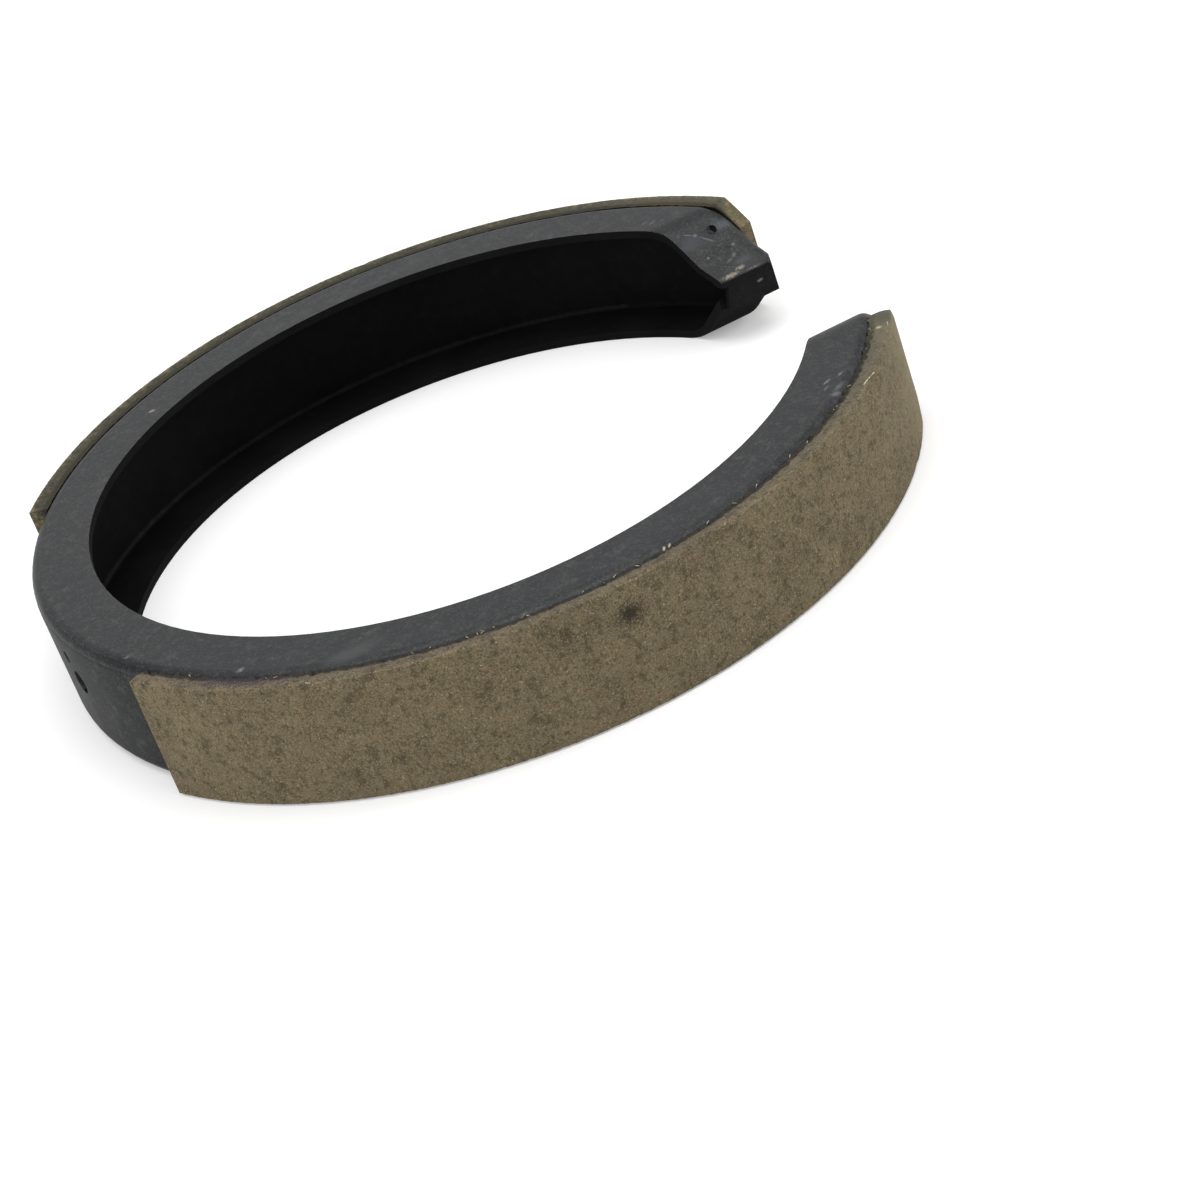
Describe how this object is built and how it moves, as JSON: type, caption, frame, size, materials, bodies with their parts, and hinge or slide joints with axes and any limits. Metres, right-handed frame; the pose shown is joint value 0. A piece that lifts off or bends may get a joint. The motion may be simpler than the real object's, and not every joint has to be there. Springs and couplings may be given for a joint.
{
  "type": "parking brake shoe",
  "caption": "Open ring-shaped parking brake shoe: a black stamped steel channel with pinched ends and a friction lining bonded to each arm.",
  "frame": {"origin": "on the brake drum's axis, midway between the shoe's two flanges", "axes": "+Z along the drum's axis, +X through the middle of the shoe's opening, +Y towards the arm whose upper joggle has the punch mark"},
  "size_m": [0.1978, 0.209, 0.0302],
  "materials": {
    "black_paint": "thin satin black paint over pressed steel",
    "friction_lining": "matt ground friction material, olive brown with dark specks and pale fibres"
  },
  "bodies": {
    "root": {"shoe_rim": "black_paint", "lining_a": "friction_lining", "lining_b": "friction_lining"}
  },
  "joints": []
}
